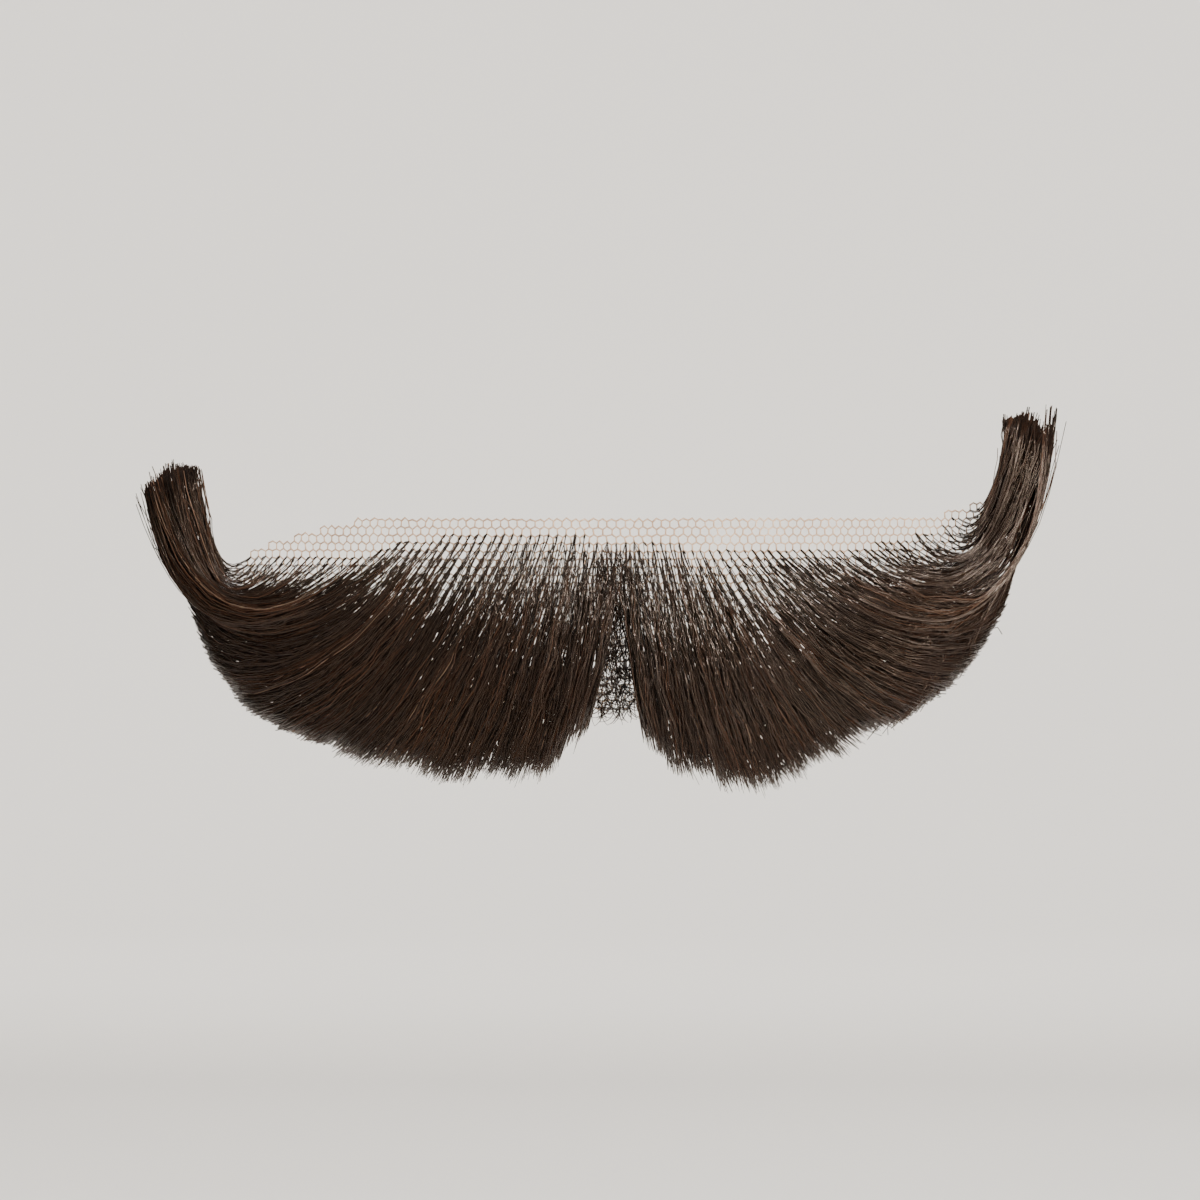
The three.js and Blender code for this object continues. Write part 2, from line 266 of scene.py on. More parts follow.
class Wing:
    """The combed lines of one side: +1 is the wearer's left and -1 the right."""

    SAMPLES = 401
    GRID = (261, 131)

    def __init__(self, name, node, side, reach, tip_rise, sheer_width, rows):
        self.name = name
        self.node = node
        self.side = side
        self.sheer_width = sheer_width
        self.across = np.linspace(0, 1, self.SAMPLES)
        self.controls = []
        for stem in ("root", "bend", "sweep", "end"):
            share_x = smooth(rows, LINE_COLUMNS, stem + "X", self.across)
            share_z = smooth(rows, LINE_COLUMNS, stem + "Z", self.across)
            x = PARTING_X + side * (PARTING_GAP / 2 + share_x * reach)
            z = share_z * HAIRLINE if stem == "root" else share_z * np.where(share_z < 0, DROP, tip_rise)
            self.controls.append((x, z))
        self.lengths = self.measure()

    def front_view(self, across, along):
        """Places seen from the front, at along = 0 on the hairline and 1 at the free ends."""
        weights = ((1 - along) ** 3, 3 * along * (1 - along) ** 2, 3 * along ** 2 * (1 - along), along ** 3)
        x = sum(w * np.interp(across, self.across, c[0]) for w, c in zip(weights, self.controls))
        z = sum(w * np.interp(across, self.across, c[1]) for w, c in zip(weights, self.controls))
        return x, z

    def measure(self):
        """Length of each combed line over the face."""
        along = np.linspace(0, 1, 41)[None, :]
        x, z = self.front_view(self.across[:, None], along)
        steps = np.diff(on_face(x, z, 0 * x), axis=1)
        return np.linalg.norm(steps, axis=-1).sum(1)

    def length(self, across):
        """Lengths of the given combed lines."""
        return np.interp(across, self.across, self.lengths)

    def spacing(self, across, along):
        """Distance between lines for each unit of across, never so small that hair is thrown aside."""
        step = 0.01
        first = np.clip(across - step, 0, 1 - 2 * step)
        x0, z0 = self.front_view(first, along)
        x1, z1 = self.front_view(first + 2 * step, along)
        return np.maximum(np.hypot(x1 - x0, z1 - z0) / (2 * step), LEAST_SPACING)

    def flow(self, across, along):
        """Directions that the hair is combed in, over the face."""
        step = 0.01
        x0, z0 = self.front_view(across, along)
        x1, z1 = self.front_view(across, along + step)
        way = on_face(x1, z1, 0 * x1) - on_face(x0, z0, 0 * x0)
        return way / np.linalg.norm(way, axis=-1, keepdims=True)

    def tip_part(self, across):
        """0 on lines of combed hair and 1 on lines of the swept-up tip."""
        return ramp(across, TIP_START - TIP_BLEND, TIP_START + TIP_BLEND)

    def bundle(self, across, along):
        """Rounds the section of the swept-up tip, which is thin at both its edges."""
        inside = np.clip((across - TIP_EDGE) / (1 - TIP_EDGE), 0, 1)
        lens = np.sqrt(np.clip(4 * inside * (1 - inside), 0.04, 1))
        return 1 - (1 - lens) * 0.55 * self.tip_part(across) * ramp(along, 0.45, 0.8)

    def depths(self, across, along):
        """Lift of the hair's back and its thickness."""
        tip = self.tip_part(across)
        full = HAIR_THICKNESS * (
            (1 - tip) * smooth(THICKNESS, THICKNESS_COLUMNS, "combed", np.clip(along, 0, 1))
            + tip * smooth(THICKNESS, THICKNESS_COLUMNS, "tip", np.clip(along, 0, 1)))
        back = HAIR_BACK + TIP_STANDOFF * tip * ramp(along, 0.5, 1)
        share = self.bundle(across, along)
        return back + full * (1 - share) / 2, full * share

    def locate(self, x, z):
        """The line and place along it of each front-view point, and how far off the hair it lies."""
        across = np.linspace(0, 1, self.GRID[0])[:, None]
        along = np.linspace(0, 0.97, self.GRID[1])[None, :]
        grid_x, grid_z = self.front_view(across, along)
        tree = KDTree(grid_x.size)
        for i, place in enumerate(zip(grid_x.ravel(), grid_z.ravel())):
            tree.insert((place[0], place[1], 0), i)
        tree.balance()
        found = [tree.find((a, b, 0)) for a, b in zip(x, z)]
        index = np.array([f[1] for f in found])
        gap = np.array([f[2] for f in found])
        row, column = np.unravel_index(index, self.GRID)
        return across[row, 0], along[0, column], gap


class Surface:
    """Collects closed strands and beads and makes one mesh of them."""

    CELL_FILL = 0.8

    def __init__(self):
        self.points = []
        self.corners = []
        self.sizes = []
        self.maps = []
        self.tones = []
        self.places = []
        self.count = 0
        self.cells = 0

    def add(self, points, corners, sizes, cell_uv, cell, tones, places):
        self.points.append(points)
        self.corners.append(corners + self.count)
        self.sizes.append(sizes)
        self.maps.append((cell_uv, cell + self.cells))
        self.tones.append(tones)
        self.places.append(places)
        self.count += len(points)
        self.cells += int(cell.max()) + 1 if len(cell) else 0

    def strands(self, paths, normals, radii, tones, sides):
        """Closed prisms along paths, shaped (strand, point, 3), each with its own tone."""
        n, m = paths.shape[:2]
        flow = np.gradient(paths, axis=1)
        flow /= np.linalg.norm(flow, axis=-1, keepdims=True)
        across = np.cross(flow, normals)
        across /= np.linalg.norm(across, axis=-1, keepdims=True)
        outward = np.cross(across, flow)
        turns = 2 * math.pi * np.arange(sides) / sides
        ring = (
            outward[:, :, None, :] * np.cos(turns)[:, None] + across[:, :, None, :] * np.sin(turns)[:, None])
        points = paths[:, :, None, :] + ring * radii[:, :, None, None]
        ids = np.arange(n * m * sides).reshape(n, m, sides)
        after = np.roll(ids, -1, axis=2)
        quads = np.stack([ids[:, :-1], after[:, :-1], after[:, 1:], ids[:, 1:]], -1).reshape(-1, 4)
        first = ids[:, 0, ::-1]
        last = ids[:, -1]
        steps = np.arange(m) / (m - 1)
        quad_uv = np.empty((n, m - 1, sides, 4, 2))
        quad_uv[..., 0] = np.array([0.1, 0.9, 0.9, 0.1])
        quad_uv[..., :2, 1] = steps[None, :-1, None, None]
        quad_uv[..., 2:, 1] = steps[None, 1:, None, None]
        cap_uv = np.stack([0.5 + 0.3 * np.cos(turns), 0.5 + 0.3 * np.sin(turns)], -1)
        cap_uv = np.broadcast_to(cap_uv, (n, sides, 2)).reshape(-1, 2)
        corners = np.concatenate([quads.ravel(), first.ravel(), last.ravel()])
        sizes = np.concatenate([np.full(len(quads), 4), np.full(2 * n, sides)])
        uv = np.concatenate([quad_uv.reshape(-1, 2), cap_uv, cap_uv])
        cell = np.concatenate([
            np.repeat(np.arange(n), (m - 1) * sides * 4),
            np.repeat(np.arange(n), sides),
            np.repeat(np.arange(n), sides)])
        self.add(
            points.reshape(-1, 3), corners, sizes, uv, cell,
            np.repeat(tones, m * sides), np.tile(np.repeat(steps, sides), n))

    def beads(self, centres, axes, radius, stretch, tones):
        """Small closed octahedra, stretched along their axes."""
        n = len(centres)
        side = np.cross(axes, (0.31, 0.87, 0.38))
        side /= np.linalg.norm(side, axis=-1, keepdims=True)
        third = np.cross(axes, side)
        long = axes * np.broadcast_to(stretch, n)[:, None]
        arms = np.stack([long, side, third, -side, -third, -long], 1)
        points = centres[:, None, :] + arms * np.asarray(radius).reshape(-1, 1, 1)
        faces = np.array([
            (0, 1, 2), (0, 2, 3), (0, 3, 4), (0, 4, 1), (5, 2, 1), (5, 3, 2), (5, 4, 3), (5, 1, 4)])
        corners = (np.arange(n)[:, None, None] * 6 + faces).ravel()
        uv = np.tile(np.array([(0.1, 0.1), (0.9, 0.1), (0.5, 0.9)]), (n * 8, 1))
        self.add(
            points.reshape(-1, 3), corners, np.full(n * 8, 3), uv, np.repeat(np.arange(n), 24),
            np.repeat(tones, 6), np.zeros(n * 6))

    def build(self, name, material):
        """One object in metres, with its tones and places as attributes and a map for its colours."""
        mesh = bpy.data.meshes.new(name)
        points = np.concatenate(self.points) * MM
        corners = np.concatenate(self.corners)
        sizes = np.concatenate(self.sizes)
        mesh.vertices.add(len(points))
        mesh.vertices.foreach_set("co", points.astype(np.float32).ravel())
        mesh.loops.add(len(corners))
        mesh.loops.foreach_set("vertex_index", corners.astype(np.int32))
        mesh.polygons.add(len(sizes))
        starts = np.concatenate([[0], np.cumsum(sizes)[:-1]])
        mesh.polygons.foreach_set("loop_start", starts.astype(np.int32))
        mesh.polygons.foreach_set("use_smooth", np.ones(len(sizes), bool))
        mesh.update(calc_edges=True)
        for title, values in (("tone", self.tones), ("place", self.places)):
            layer = mesh.attributes.new(title, "FLOAT", "POINT")
            layer.data.foreach_set("value", np.concatenate(values).astype(np.float32))
        side = math.ceil(math.sqrt(self.cells))
        inside = np.concatenate([m[0] for m in self.maps])
        cell = np.concatenate([m[1] for m in self.maps])
        corner = np.stack([cell % side, cell // side], -1)
        margin = (1 - self.CELL_FILL) / 2
        uv = (corner + margin + inside * self.CELL_FILL) / side
        layer = mesh.uv_layers.new(name="OFBake")
        layer.data.foreach_set("uv", uv.astype(np.float32).ravel())
        mesh.materials.append(material)
        piece = bpy.data.objects.new(name, mesh)
        bpy.context.scene.collection.objects.link(piece)
        return piece


def new_material(name):
    """A material with its node tree and its shader."""
    material = bpy.data.materials.new(name)
    material.use_nodes = True
    tree = material.node_tree
    return material, tree, tree.nodes["Principled BSDF"]


def attribute(tree, title):
    """A value that each point of the mesh carries."""
    node = tree.nodes.new("ShaderNodeAttribute")
    node.attribute_name = title
    return node.outputs["Fac"]


def noise(tree, scale, detail=2.0):
    """Noise that stays fixed to the object, at a scale in bumps per metre."""
    place = tree.nodes.new("ShaderNodeTexCoord")
    node = tree.nodes.new("ShaderNodeTexNoise")
    node.inputs["Scale"].default_value = scale
    node.inputs["Detail"].default_value = detail
    tree.links.new(place.outputs["Object"], node.inputs["Vector"])
    return node.outputs["Fac"]


def colour_ramp(tree, source, stops):
    """Colours for the values of a socket, from stops of a position and a colour."""
    node = tree.nodes.new("ShaderNodeValToRGB")
    points = node.color_ramp.elements
    while len(points) < len(stops):
        points.new(0.5)
    for point, (position, colour) in zip(points, stops):
        point.position = position
        point.color = (*colour, 1)
    tree.links.new(source, node.inputs["Fac"])
    return node.outputs["Color"]


def mixed(tree, kind, factor, first, second):
    """Mixes two colours."""
    node = tree.nodes.new("ShaderNodeMix")
    node.data_type = "RGBA"
    node.blend_type = kind
    node.inputs["Factor"].default_value = factor
    tree.links.new(first, node.inputs[6])
    tree.links.new(second, node.inputs[7])
    return node.outputs[2]


def map_range(tree, source, low, high):
    """Values from 0 to 1 spread from low to high."""
    node = tree.nodes.new("ShaderNodeMapRange")
    node.inputs["To Min"].default_value = low
    node.inputs["To Max"].default_value = high
    tree.links.new(source, node.inputs["Value"])
    return node.outputs["Result"]


def crimp(tree, scale, depth):
    """Bump for the fine crimp along each strand, shifted by its tone so that neighbours differ."""
    height = noise(tree, scale, 1.0)
    height.node.noise_dimensions = "4D"
    tree.links.new(attribute(tree, "tone"), height.node.inputs["W"])
    node = tree.nodes.new("ShaderNodeBump")
    node.inputs["Strength"].default_value = 0.8
    node.inputs["Distance"].default_value = depth
    tree.links.new(height, node.inputs["Height"])
    return node.outputs["Normal"]


def hair_material():
    """Dark brown hair: each strand has its own tone, some are reddish, and the colour drifts in patches."""
    material, tree, shader = new_material("dark_brown_hair")
    tone = colour_ramp(tree, attribute(tree, "tone"), (
        (0.00, (0.004, 0.0024, 0.0015)),
        (0.45, (0.011, 0.0053, 0.0028)),
        (0.78, (0.033, 0.0150, 0.0080)),
        (0.90, (0.050, 0.0260, 0.0150)),
        (1.00, (0.105, 0.072, 0.052))))
    patches = colour_ramp(tree, noise(tree, 90.0), (
        (0.35, (0.72, 0.68, 0.66)), (0.65, (1.20, 1.12, 1.05))))
    lengthwise = colour_ramp(tree, attribute(tree, "place"), (
        (0.0, (0.75, 0.75, 0.75)), (0.25, (1.0, 1.0, 1.0)), (1.0, (1.12, 1.05, 1.0))))
    colour = mixed(tree, "MULTIPLY", 1.0, tone, patches)
    colour = mixed(tree, "MULTIPLY", 1.0, colour, lengthwise)
    tree.links.new(colour, shader.inputs["Base Color"])
    tree.links.new(map_range(tree, noise(tree, 2600.0), 0.14, 0.28), shader.inputs["Roughness"])
    tree.links.new(crimp(tree, 480.0, 0.0006), shader.inputs["Normal"])
    shader.inputs["Specular IOR Level"].default_value = 0.43
    shader.inputs["Specular Tint"].default_value = (1.0, 0.78, 0.63, 1)
    return material


def net_material():
    """Flesh-coloured thread, a little glossy, darker where it has taken up dust and glue."""
    material, tree, shader = new_material("flesh_net_thread")
    colour = colour_ramp(tree, noise(tree, 260.0, 3.0), (
        (0.30, (0.30, 0.18, 0.10)), (0.55, (0.42, 0.27, 0.16)), (0.75, (0.56, 0.40, 0.27))))
    tree.links.new(colour, shader.inputs["Base Color"])
    tree.links.new(map_range(tree, noise(tree, 1800.0), 0.34, 0.55), shader.inputs["Roughness"])
    shader.inputs["Specular IOR Level"].default_value = 0.55
    return material


def floor_material():
    """Matt pale paper with a faint drift of tone."""
    material, tree, shader = new_material("pale_floor")
    colour = colour_ramp(tree, noise(tree, 3.0), (
        (0.3, (0.79, 0.755, 0.705)), (0.7, (0.81, 0.775, 0.725))))
    tree.links.new(colour, shader.inputs["Base Color"])
    shader.inputs["Roughness"].default_value = 0.9
    return material


def surface_steps():
    """Distance walked over the face for each x, so that the net keeps its pitch on the cheeks."""
    x = np.linspace(-NET_HALF_WIDTH, NET_HALF_WIDTH, 1201)
    slope = FACE_SLOPE * x / np.hypot(x, FACE_ROUND)
    walked = np.concatenate([[0], np.cumsum(np.hypot(1, (slope[1:] + slope[:-1]) / 2) * np.diff(x))])
    return x, walked - np.interp(0, x, walked)


def lace_limits(x):
    """Upper and lower edge of the lace at each x, and whether x is on the lace at all."""
    beside = x - PARTING_X
    place = beside / np.where(beside < 0, RIGHT_REACH, LEFT_REACH)
    inside = (place >= LACE_EDGES[0][0]) & (place <= LACE_EDGES[-1][0])
    place = np.clip(place, LACE_EDGES[0][0], LACE_EDGES[-1][0])
    top = smooth(LACE_EDGES, EDGE_COLUMNS, "top", place) * (HAIRLINE + LACE_MARGIN)
    bottom = -smooth(LACE_EDGES, EDGE_COLUMNS, "bottom", place) * LACE_DROP
    return top, bottom, inside


def net_lattice(rng):
    """Corners of the hexagons, seen from the front, and the pairs that a thread joins."""
    wide = math.sqrt(3) * NET_EDGE
    places = {}
    spots = []
    for j in NET_ROWS:
        for i in NET_COLUMNS:
            centre = (i * wide + (j % 2) * wide / 2, j * 1.5 * NET_EDGE)
            for kind, step in (("top", NET_EDGE), ("bottom", -NET_EDGE)):
                places[kind, i, j] = len(spots)
                spots.append((centre[0], centre[1] + step))
    spots = np.array(spots) + rng.normal(0, NET_JITTER, (len(spots), 2))
    pairs = []
    for j in NET_ROWS:
        for i in NET_COLUMNS:
            shift = i + (j % 2)
            near = (("bottom", shift - 1, j + 1), ("bottom", shift, j + 1), ("bottom", i, j + 2))
            pairs += [(places["top", i, j], places[key]) for key in near if key in places]
    x, walked = surface_steps()
    flat = np.stack([np.interp(spots[:, 0], walked, x), spots[:, 1]], -1)
    top, bottom, inside = lace_limits(flat[:, 0])
    kept = inside & (flat[:, 1] <= top) & (flat[:, 1] >= bottom)
    pairs = np.array(pairs)
    pairs = pairs[kept[pairs[:, 0]] & kept[pairs[:, 1]]]
    # Threads that end in the air are taken away, three rounds of them
    for _ in range(3):
        met = np.bincount(pairs.ravel(), minlength=len(spots))
        pairs = pairs[(met[pairs] > 1).all(1)]
    knots = np.array([places["top", i, j] for j in NET_ROWS for i in NET_COLUMNS])
    knots = knots[kept[knots]]
    return flat, pairs, flat[knots]


def net_piece(flat, pairs, material, rng):
    """The net's threads, each a closed prism from corner to corner, with a bead where three meet."""
    surface = Surface()
    ends = on_face(flat[:, 0], flat[:, 1], np.full(len(flat), NET_LIFT))
    paths = ends[pairs]
    middle = paths.mean(1)
    normals = np.repeat(face_normal(middle[:, 0])[:, None, :], 2, axis=1)
    radii = np.repeat(rng.uniform(0.85, 1.15, (len(pairs), 1)) * NET_THREAD / 2, 2, axis=1)
    surface.strands(paths, normals, radii, rng.uniform(0, 1, len(pairs)), NET_SIDES)
    used = np.unique(pairs)
    beads = ends[used]
    surface.beads(beads, face_normal(beads[:, 0]), NET_THREAD * 0.72, 1.0, rng.uniform(0, 1, len(used)))
    return surface.build("lace_net", material)


def root_places(wing, knots):
    """Knots of the net that carry this wing's hair, with the line and the place along it of each."""
    mine = knots[(knots[:, 0] - PARTING_X) * wing.side > -KNOT_OVERLAP]
    across, along, gap = wing.locate(mine[:, 0], mine[:, 1])
    kept = gap < KNOT_REACH
    return mine[kept], across[kept], along[kept]


def hairs_per_knot(wing, spots, across, depth):
    """How many hairs grow from each knot: few at the hairline and beside the parting, more further down."""
    beside = np.abs(spots[:, 0] - PARTING_X)
    sheer = 1 - ramp(beside, wing.sheer_width - SHEER_BLEND, wing.sheer_width + SHEER_BLEND)
    full = FULL_HAIRS[0] + FULL_HAIRS[1] * ramp(depth, 3.0, 9.5)
    thin = SHEER_HAIRS[0] + SHEER_HAIRS[1] * ramp(depth, 5.0, 14.0)
    bend = ramp(across, 0.46, 0.54) * (1 - ramp(across, 0.62, 0.70))
    return full * (1 - sheer) + thin * sheer + BEND_HAIRS * bend


def combed_lines(across):
    """The line that each tuft is combed to: past the bend's start they are ranked and shared out again."""
    shares = column_of(COMBING, COMBING_COLUMNS, "share")
    targets = column_of(COMBING, COMBING_COLUMNS, "line")
    lines = across.copy()
    moved = np.flatnonzero(across > targets[0])
    order = moved[np.argsort(across[moved])]
    ranks = (np.arange(len(order)) + 0.5) / len(order)
    lines[order] = np.interp(ranks, shares, targets)
    return lines


def tufts(wing, knots, rng):
    """The tuft of each of this wing's knots: its number of hairs and the values that they share."""
    spots, across, along = root_places(wing, knots)
    n = len(spots)
    depth = along * wing.length(across)
    counts = 1 + rng.poisson(hairs_per_knot(wing, spots, across, depth) - 1)
    line = combed_lines(across)
    swept = line + rng.normal(0, 0.008, n) > TIP_START
    tip = wing.tip_part(line)
    bend = ramp(line, 0.50, 0.56) * (1 - ramp(line, 0.64, 0.70))

    # Clumps of uneven length, which even out towards the bend, and blunt-cut ends in the tip
    centres = (np.arange(CLUMPS) + 0.5 + rng.uniform(-0.65, 0.65, CLUMPS)) / CLUMPS
    near = line + rng.normal(0, 0.4 / CLUMPS, n)
    clump = np.abs(centres[None, :] - near[:, None]).argmin(1)
    aside = np.minimum(np.abs(line - centres[clump]) * CLUMPS, 1.5)
    uneven = 1 - 0.75 * ramp(line, 0.32, 0.46)
    clump_end = rng.uniform(-0.05, 0.02, CLUMPS)
    combed_end = 1 + (clump_end[clump] - 0.02 * aside + rng.normal(0, 0.015, n)) * uneven
    combed_end = combed_end + 0.02 * ramp(line, 0.22, 0.36)
    swept_end = 1 + rng.uniform(-0.012, 0.008, CLUMPS)[clump] + rng.uniform(-0.018, 0.004, n)
    # Hair beside the parting is a little shorter
    parting = 1 - ramp(across, 0.02, 0.09)
    combed_end = combed_end - 0.09 * rng.uniform(0, 1, n) * parting
    # Hair tied at the hairline lies on top, and hair tied further down lies under it
    deep = np.where(swept, 1.5, 0.85)
    tuft = dict(
        spots=spots, across=across, along=along, line=line, swept=swept, tip=tip,
        blunt=np.maximum(tip, 0.8 * ramp(line, 0.28, 0.42)),
        centre=centres[clump],
        end=np.where(swept, swept_end, combed_end),
        pull=CLUMP_PULL * rng.uniform(0, 1, n) * (1 - 0.6 * tip) * (1 - 0.9 * ramp(line, 0.36, 0.50)),
        drift=rng.normal(0, 1, n) * (0.55 + 0.9 * bend + 0.6 * parting),
        wave=rng.uniform(0.10, 0.34, n),
        wave_length=rng.uniform(5.5, 10, n),
        wave_start=rng.uniform(0, 2 * math.pi, n),
        layer=0.96 - along * deep + rng.normal(0, 1, n) * np.where(swept, 0.22, 0.12),
        tone=0.82 * rng.beta(2.0, 3.2, n))
    return tuft, counts


def single_hairs(wing, knots, rng):
    """Every hair of one wing. The hairs of a knot keep together, each a little apart from the others."""
    tuft, counts = tufts(wing, knots, rng)
    pick = np.repeat(np.arange(len(counts)), counts)
    hair = SimpleNamespace(**{name: values[pick] for name, values in tuft.items()})
    n = len(pick)
    hair.spots = hair.spots + rng.normal(0, TUFT_SPREAD, (n, 2))
    stray = rng.random(n) < STRAY_SHARE
    hair.drift = hair.drift + rng.normal(0, 0.42, n) + stray * rng.normal(0, 1.4, n)
    hair.splay = rng.normal(0, 0.24, n)
    hair.wave = hair.wave * rng.uniform(0.6, 1.4, n)
    hair.wave_start = hair.wave_start + rng.normal(0, 0.7, n)
    hair.layer = np.clip(hair.layer + rng.normal(0, 0.05, n), 0.03, 1.04)
    light = rng.random(n) < LIGHT_SHARE
    hair.tone = np.clip(hair.tone + rng.normal(0, 0.09, n) + light * rng.uniform(0.15, 0.50, n), 0, 1)
    end = hair.end + rng.normal(0, 0.010, n) * (1 - 0.5 * hair.tip)
    short = rng.random(n) < SHORT_SHARE
    end = np.where(short, hair.along + (end - hair.along) * rng.uniform(0.4, 0.9, n), end)
    hair.end = np.maximum(end, hair.along + 0.07)
    hair.raised = stray * rng.uniform(0.2, 1.3, n)
    hair.outward = stray * hair.swept * rng.uniform(0.0, 1.8, n)
    hair.radius = HAIR_RADIUS * rng.uniform(0.75, 1.15, n) * (1.45 - 0.45 * hair.layer)
    hair.length = (hair.end - hair.along) * wing.length(hair.across)
    return hair


def comb(wing, hair, picked, steps):
    """Paths and face normals of the picked hairs, from their knots to their free ends, and their radii."""
    def column(values):
        return values[picked, None]

    # The steps grow a little longer towards the free end, because a hair turns most near its knot
    u = (np.linspace(0, 1, steps + 1) ** 1.15)[None, :]
    walked = u * column(hair.length)
    at = column(hair.along) + column(hair.end - hair.along) * u
    gather = column(hair.pull) * ramp(at, 0.3, 1.1)
    line = column(hair.across) + column(hair.line - hair.across) * ramp(at, 0.3, 0.72)
    line = line * (1 - gather) + column(hair.centre) * gather
    swing = np.sin(2 * math.pi * walked / column(hair.wave_length) + column(hair.wave_start))
    aside = (
        column(hair.drift) * u ** 1.3
        + column(hair.splay) * ramp(walked, 1, 7) * (1 - 0.4 * u)
        + column(hair.wave) * (swing - np.sin(column(hair.wave_start))) * ramp(walked, 0, 5))
    spacing = wing.spacing(column(hair.across), at)
    line = line + aside / spacing
    # Above the gap hair may cross the parting, and further down most of it turns back to its own side
    past = np.minimum(line, 0)
    crossing = 1 - 0.55 * ramp(at, 0.25, 0.5)
    beyond = np.minimum(np.maximum(line - 1, 0) * spacing, PAST_EDGE)
    line = np.clip(np.maximum(line, 0) - past * (1 - crossing), 0, 1)
    x, z = wing.front_view(line, at)
    x = x + wing.side * (past * crossing * spacing - beyond)
    start_x, start_z = wing.front_view(hair.across[picked], hair.along[picked])
    fade = (1 - u) ** 2
    x = x + (hair.spots[picked, 0] - start_x)[:, None] * fade + wing.side * column(hair.outward) * u ** 4
    z = z + (hair.spots[picked, 1] - start_z)[:, None] * fade
    back, full = wing.depths(line, at)
    target = back + full * column(hair.layer) + column(hair.raised) * u * u
    climb = np.clip(walked / CLIMB, 0, 1)
    lift = NET_LIFT + (target - NET_LIFT) * climb * (2 - climb)
    taper = 1 - 0.6 * ramp(u, 0.8, 1.0) * (1 - column(hair.blunt))
    return on_face(x, z, lift), face_normal(x), column(hair.radius) * taper


def wing_pieces(wing, knots, material, rng):
    """The wing's hair in pieces by where it grows, so that each stays a mesh of moderate size."""
    hair = single_hairs(wing, knots, rng)
    pieces = []
    for part in rows_of(PIECES, PIECE_COLUMNS):
        surface = Surface()
        inside = (hair.across >= part.low) & (hair.across < part.high)
        for size in rows_of(HAIR_STEPS, STEP_COLUMNS):
            picked = np.flatnonzero(inside & (hair.length >= size.shortest) & (hair.length < size.longest))
            if len(picked):
                paths, normals, radii = comb(wing, hair, picked, size.steps)
                surface.strands(paths, normals, radii, hair.tone[picked], HAIR_SIDES)
        pieces.append(surface.build(f"{wing.name}_{part.title}_hair", material))
    return pieces


def knot_piece(knots, wings, material, rng):
    """The doubled hair at each tied corner of the net, a dark bead stretched the way it is combed."""
    surface = Surface()
    for wing in wings:
        spots, across, along = root_places(wing, knots)
        n = len(spots)
        radius = KNOT_RADIUS * rng.uniform(0.75, 1.2, n)
        axes = wing.flow(across, along) + rng.normal(0, 0.22, (n, 3)) + 0.35 * face_normal(spots[:, 0])
        axes /= np.linalg.norm(axes, axis=-1, keepdims=True)
        stretch = rng.uniform(2.2, 4.2, n)
        centres = on_face(spots[:, 0], spots[:, 1], np.full(n, NET_LIFT + 0.12))
        centres = centres + axes * (radius * stretch * 0.7)[:, None]
        surface.beads(centres, axes, radius, stretch, rng.uniform(0, 0.5, n))
    return surface.build("hair_knots", material)


def loose_hair(spots, lean, curl, reach, rise, rng):
    """Short curved hairs hanging from the given knots: paths and the normals of the face behind them."""
    n = len(spots)
    u = np.linspace(0, 1, 8)[None, :]
    turn = rng.normal(0, lean, n)[:, None] + rng.normal(0, curl, n)[:, None] * u
    far = rng.uniform(*reach, n)[:, None] * u
    x = spots[:, 0:1] + far * np.sin(turn)
    z = spots[:, 1:2] - far * np.cos(turn)
    lift = NET_LIFT + rng.uniform(0.3, rise, n)[:, None] * u * (2 - u)
    radii = HAIR_RADIUS * (0.95 - 0.5 * ramp(u, 0.6, 1.0)) * np.ones((n, 1))
    return on_face(x, z, lift), face_normal(x), radii


def gap_piece(knots, wings, material, rng):
    """Short hairs tied along the parting above the gap, and on the net in the gap itself."""
    gaps = np.min([wing.locate(knots[:, 0], knots[:, 1])[2] for wing in wings], axis=0)
    beside = np.abs(knots[:, 0] - PARTING_X)
    height = knots[:, 1]
    bare = knots[(gaps >= KNOT_REACH) & (height < GAP_TOP) & (beside < KNOT_OVERLAP)]
    low = np.repeat(bare, rng.poisson(GAP_HAIRS[0] + GAP_HAIRS[1] * ramp(-bare[:, 1], 8.5, 12.0)), axis=0)
    middle = knots[(beside < PARTING_BAND) & (height > PARTING_LOW) & (height < PARTING_HIGH)]
    high = np.repeat(middle, rng.poisson(PARTING_HAIRS, len(middle)), axis=0)
    crimped = dict(lean=0.8, curl=1.1, reach=(0.9, 2.4), rise=1.5)
    hanging = dict(lean=0.20, curl=0.30, reach=(2.5, 8.0), rise=2.4)
    surface = Surface()
    for spots, form in ((low, crimped), (high, hanging)):
        paths, normals, radii = loose_hair(spots, rng=rng, **form)
        surface.strands(paths, normals, radii, rng.beta(2, 3, len(spots)), HAIR_SIDES)
    return surface.build("gap_hair", material)


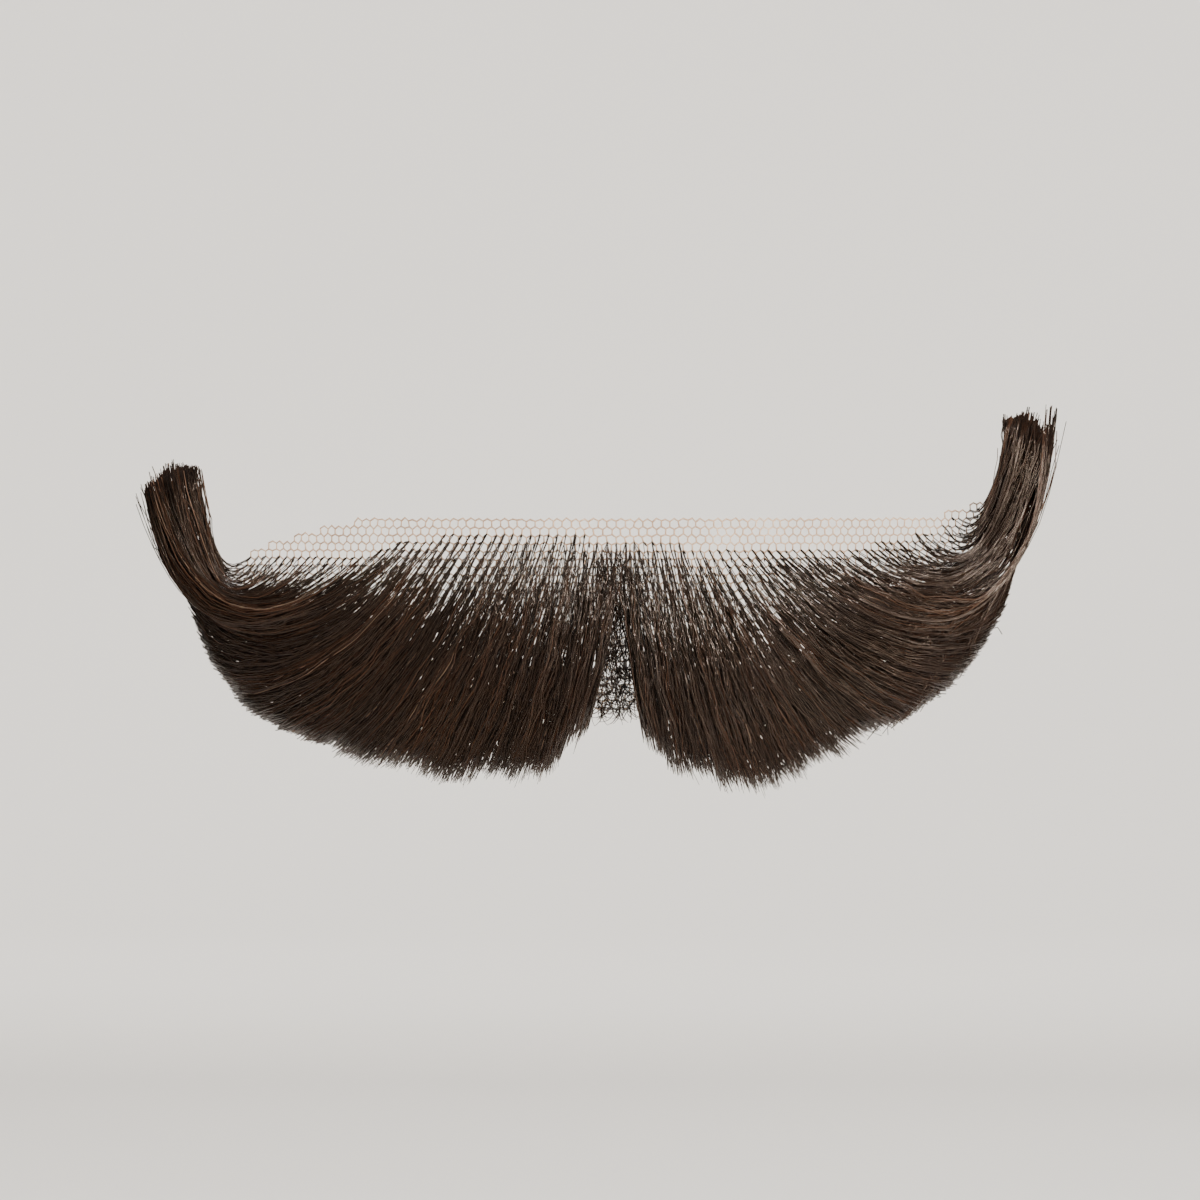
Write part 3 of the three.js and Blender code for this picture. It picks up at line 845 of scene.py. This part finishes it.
def floor_piece(material):
    """A wide pale floor that curves up into a wall all round, far outside every view's camera."""
    level = -0.14
    flat_radius = 2.0
    curve = 1.2
    wall_top = 3.0
    curve_steps = 8
    sides = 64
    profile = [(0.0, level), (flat_radius / 2, level), (flat_radius, level)]
    for k in range(1, curve_steps + 1):
        turn = math.pi / 2 * k / curve_steps
        profile.append((flat_radius + curve * math.sin(turn), level + curve * (1 - math.cos(turn))))
    profile.append((flat_radius + curve, wall_top))
    points = []
    for radius, height in profile:
        for s in range(sides):
            turn = 2 * math.pi * s / sides
            points.append((radius * math.cos(turn), radius * math.sin(turn), height))
    faces = []
    for r in range(len(profile) - 1):
        for s in range(sides):
            a = r * sides + s
            b = r * sides + (s + 1) % sides
            faces.append((a, b, b + sides, a + sides))
    mesh = bpy.data.meshes.new("floor")
    mesh.from_pydata(points, [], faces)
    mesh.polygons.foreach_set("use_smooth", [True] * len(faces))
    mesh.materials.append(material)
    floor = bpy.data.objects.new("floor", mesh)
    bpy.context.scene.collection.objects.link(floor)
    return floor


def add_camera():
    """Straight in front at the photograph's distance, a little above the piece."""
    distance = 1.1
    frame_width = 0.138
    elevation = math.radians(0.9)
    low, high = (np.array(corner) for corner in cad_box)
    middle = Vector(((low[0] + high[0]) / 2, 0.0, (low[2] + high[2]) / 2))
    data = bpy.data.cameras.new("camera")
    data.sensor_width = 36
    data.lens = data.sensor_width * distance / frame_width
    camera = bpy.data.objects.new("camera", data)
    camera.location = middle + distance * Vector((0, -math.cos(elevation), math.sin(elevation)))
    camera.rotation_euler = (middle - camera.location).to_track_quat("-Z", "Y").to_euler()
    bpy.context.scene.collection.objects.link(camera)
    bpy.context.scene.camera = camera


def add_light(name, place, size, power, colour):
    """A soft rectangular lamp that shines on the origin."""
    data = bpy.data.lights.new(name, "AREA")
    data.shape = "RECTANGLE"
    data.size, data.size_y = size
    data.energy = power
    data.color = colour
    lamp = bpy.data.objects.new(name, data)
    lamp.location = place
    lamp.rotation_euler = (-Vector(place)).to_track_quat("-Z", "Y").to_euler()
    lamp.visible_camera = False
    bpy.context.scene.collection.objects.link(lamp)
    return lamp


# Lamps round the piece: metres and watts
LAMP_COLUMNS = ("name", "place", "size", "power", "colour")
LAMPS = (
    ("key", (0.65, -0.90, 0.80), (0.20, 0.28), 47, (0.97, 0.985, 1.0)),
    ("side", (1.25, -0.55, 0.10), (0.25, 0.30), 11, (1.0, 0.965, 0.93)),
    ("front", (0.66, -1.12, 0.14), (0.07, 0.07), 6.5, (1.0, 1.0, 1.0)),
    ("overhead", (0.0, -0.25, 1.5), (1.0, 0.6), 7, (1.0, 1.0, 1.0)),
    ("back", (0.2, 1.2, 0.9), (0.6, 0.4), 10, (1.0, 1.0, 1.0)),
)
# Lamps that wash the backdrop on all four sides
WASH_POWER = 28
WASH_SIZE = (1.6, 0.9)
WASH_DISTANCE = 1.5
WASH_HEIGHT = 0.9
WORLD_COLOUR = (0.95, 0.97, 1.0, 1)
WORLD_STRENGTH = 0.22


def add_lights():
    """Soft lights from the front and the wearer's left, one overhead and washes on the backdrop."""
    for lamp in rows_of(LAMPS, LAMP_COLUMNS):
        add_light(lamp.name, lamp.place, lamp.size, lamp.power, lamp.colour)
    for k in range(4):
        turn = math.pi / 2 * k
        way = Vector((math.cos(turn), math.sin(turn), 0.0))
        place = way * WASH_DISTANCE + Vector((0, 0, WASH_HEIGHT))
        wash = add_light(f"wash_{k}", place, WASH_SIZE, WASH_POWER, (1.0, 1.0, 1.0))
        wash.rotation_euler = (way - Vector((0, 0, 0.25))).to_track_quat("-Z", "Y").to_euler()
    world = bpy.data.worlds.new("studio")
    world.use_nodes = True
    background = world.node_tree.nodes["Background"]
    background.inputs["Color"].default_value = WORLD_COLOUR
    background.inputs["Strength"].default_value = WORLD_STRENGTH
    bpy.context.scene.world = world


add_camera()
add_lights()
rng = np.random.default_rng(SEED)
hair = hair_material()
thread = net_material()
flat, pairs, knots = net_lattice(rng)
wings = (
    Wing("left", "left_wing", 1, LEFT_REACH, LEFT_TIP_RISE, LEFT_SHEER_WIDTH, LEFT_LINES),
    Wing("right", "right_wing", -1, RIGHT_REACH, RIGHT_TIP_RISE, RIGHT_SHEER_WIDTH, RIGHT_LINES),
)

net = net_piece(flat, pairs, thread, rng)
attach(net, "root")
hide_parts("lace_foundation")

for wing in wings:
    for piece in wing_pieces(wing, knots, hair, rng):
        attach(piece, "root")
        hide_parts(wing.node)

for piece in (knot_piece(knots, wings, hair, rng), gap_piece(knots, wings, hair, rng)):
    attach(piece, "root")

floor_piece(floor_material())
